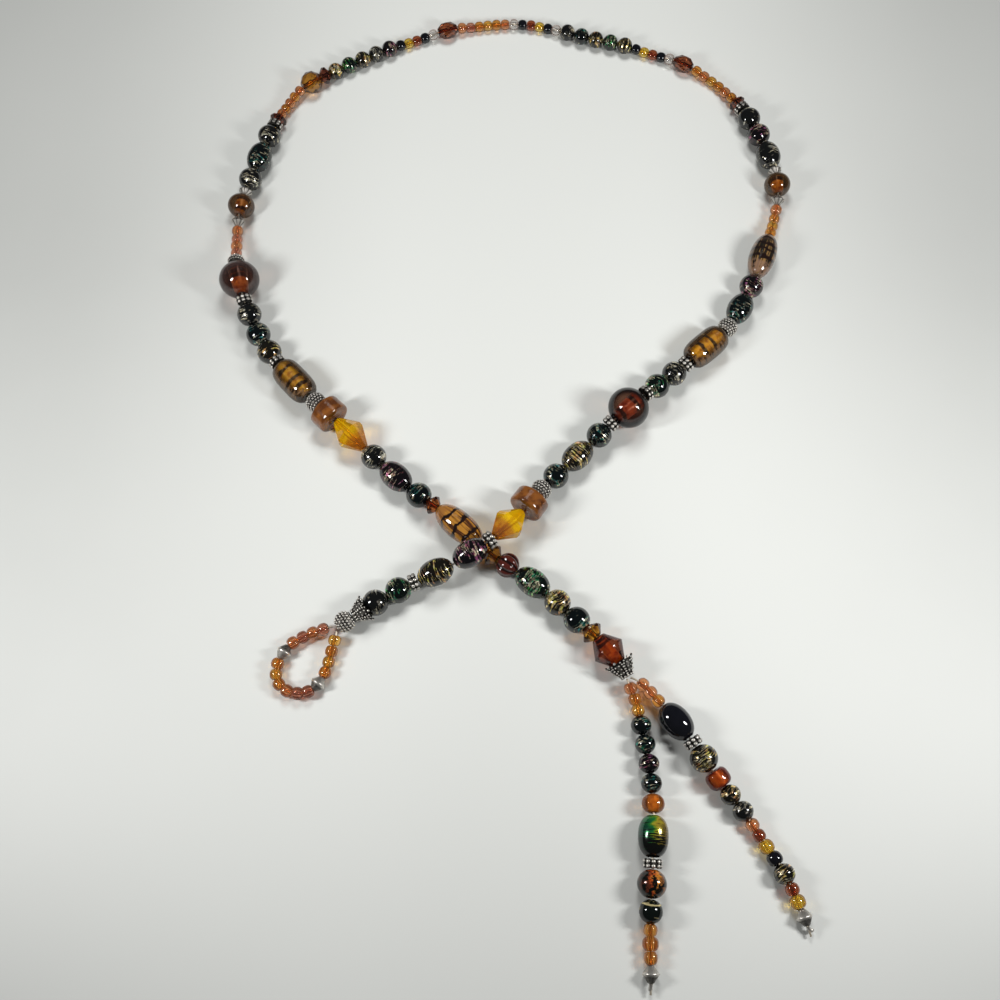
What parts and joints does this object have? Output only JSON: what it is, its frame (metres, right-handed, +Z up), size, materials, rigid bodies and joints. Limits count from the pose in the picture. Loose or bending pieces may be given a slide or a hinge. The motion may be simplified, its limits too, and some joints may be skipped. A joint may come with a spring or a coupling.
{
  "type": "beaded lariat necklace",
  "caption": "Open-ended beaded necklace of glass and metal beads, with a small bead loop at one end and two drops at the other, lying flat and crossing itself.",
  "frame": {"origin": "middle of the footprint on the surface that the necklace lies on", "axes": "+Z up from that surface, +Y from the two drops towards the back of the neck opening, +X to the right as the picture shows it"},
  "size_m": [0.1948, 0.3336, 0.013],
  "materials": {
    "antique_silver": "cast, granulated and oxidised in the hollows",
    "dark_foil_glass": "near-black glossy glass with thin metallic threads in gold, green, teal and copper",
    "black_glass": "plain glossy black glass",
    "dichroic_foil_glass": "glossy glass over dichroic foil in patches",
    "tiger_striped_glass": "amber glass with dark brown lines and bands",
    "yellow_crystal_glass": "clear yellow cut crystal",
    "brown_glass": "pressed brown glass with a lighter rim",
    "dark_amber_glass": "very dark brown glass with an amber core",
    "amber_glass": "clear amber glass with dark swirls",
    "cognac_glass": "clear red-brown glass",
    "strung_small_beads": "small glass beads and metal spacers on bronze-coloured wire"
  },
  "bodies": {
    "root": {"amber_ball_1": "amber_glass", "amber_round_1": "amber_glass", "amber_round_2": "amber_glass", "back_string": "strung_small_beads", "big_round_1": "dark_amber_glass", "big_round_2": "dark_amber_glass", "black_oval_1": "black_glass", "brown_disc_1": "brown_glass", "brown_disc_2": "brown_glass", "cognac_crystal_1": "cognac_glass", "cut_oval_1": "cognac_glass", "cut_oval_2": "cognac_glass", "cut_round_1": "amber_glass", "dark_oval_1": "dark_foil_glass", "dark_oval_2": "dark_foil_glass", "dark_oval_3": "dark_foil_glass", "dark_oval_4": "dark_foil_glass", "dark_oval_5": "dark_foil_glass", "dark_oval_6": "dark_foil_glass", "dark_oval_7": "dark_foil_glass", "foil_oval_1": "dichroic_foil_glass", "foil_round_1": "dichroic_foil_glass", "foil_round_2": "dichroic_foil_glass", "front_string": "strung_small_beads", "granulated_bead_1": "antique_silver", "granulated_bead_2": "antique_silver", "granulated_bead_3": "antique_silver", "granulated_bead_4": "antique_silver", "leaf_cap_1": "antique_silver", "left_drop_string": "strung_small_beads", "loop_string": "strung_small_beads", "melon_round_1": "cognac_glass", "petal_cap_1": "antique_silver", "pony_bead_1": "cognac_glass", "right_drop_string": "strung_small_beads", "short_dark_oval_1": "dark_foil_glass", "tiger_barrel_1": "tiger_striped_glass", "tiger_barrel_2": "tiger_striped_glass", "tiger_oval_1": "tiger_striped_glass", "tiger_oval_2": "tiger_striped_glass", "yellow_crystal_1": "yellow_crystal_glass", "yellow_crystal_2": "yellow_crystal_glass"}
  },
  "joints": []
}
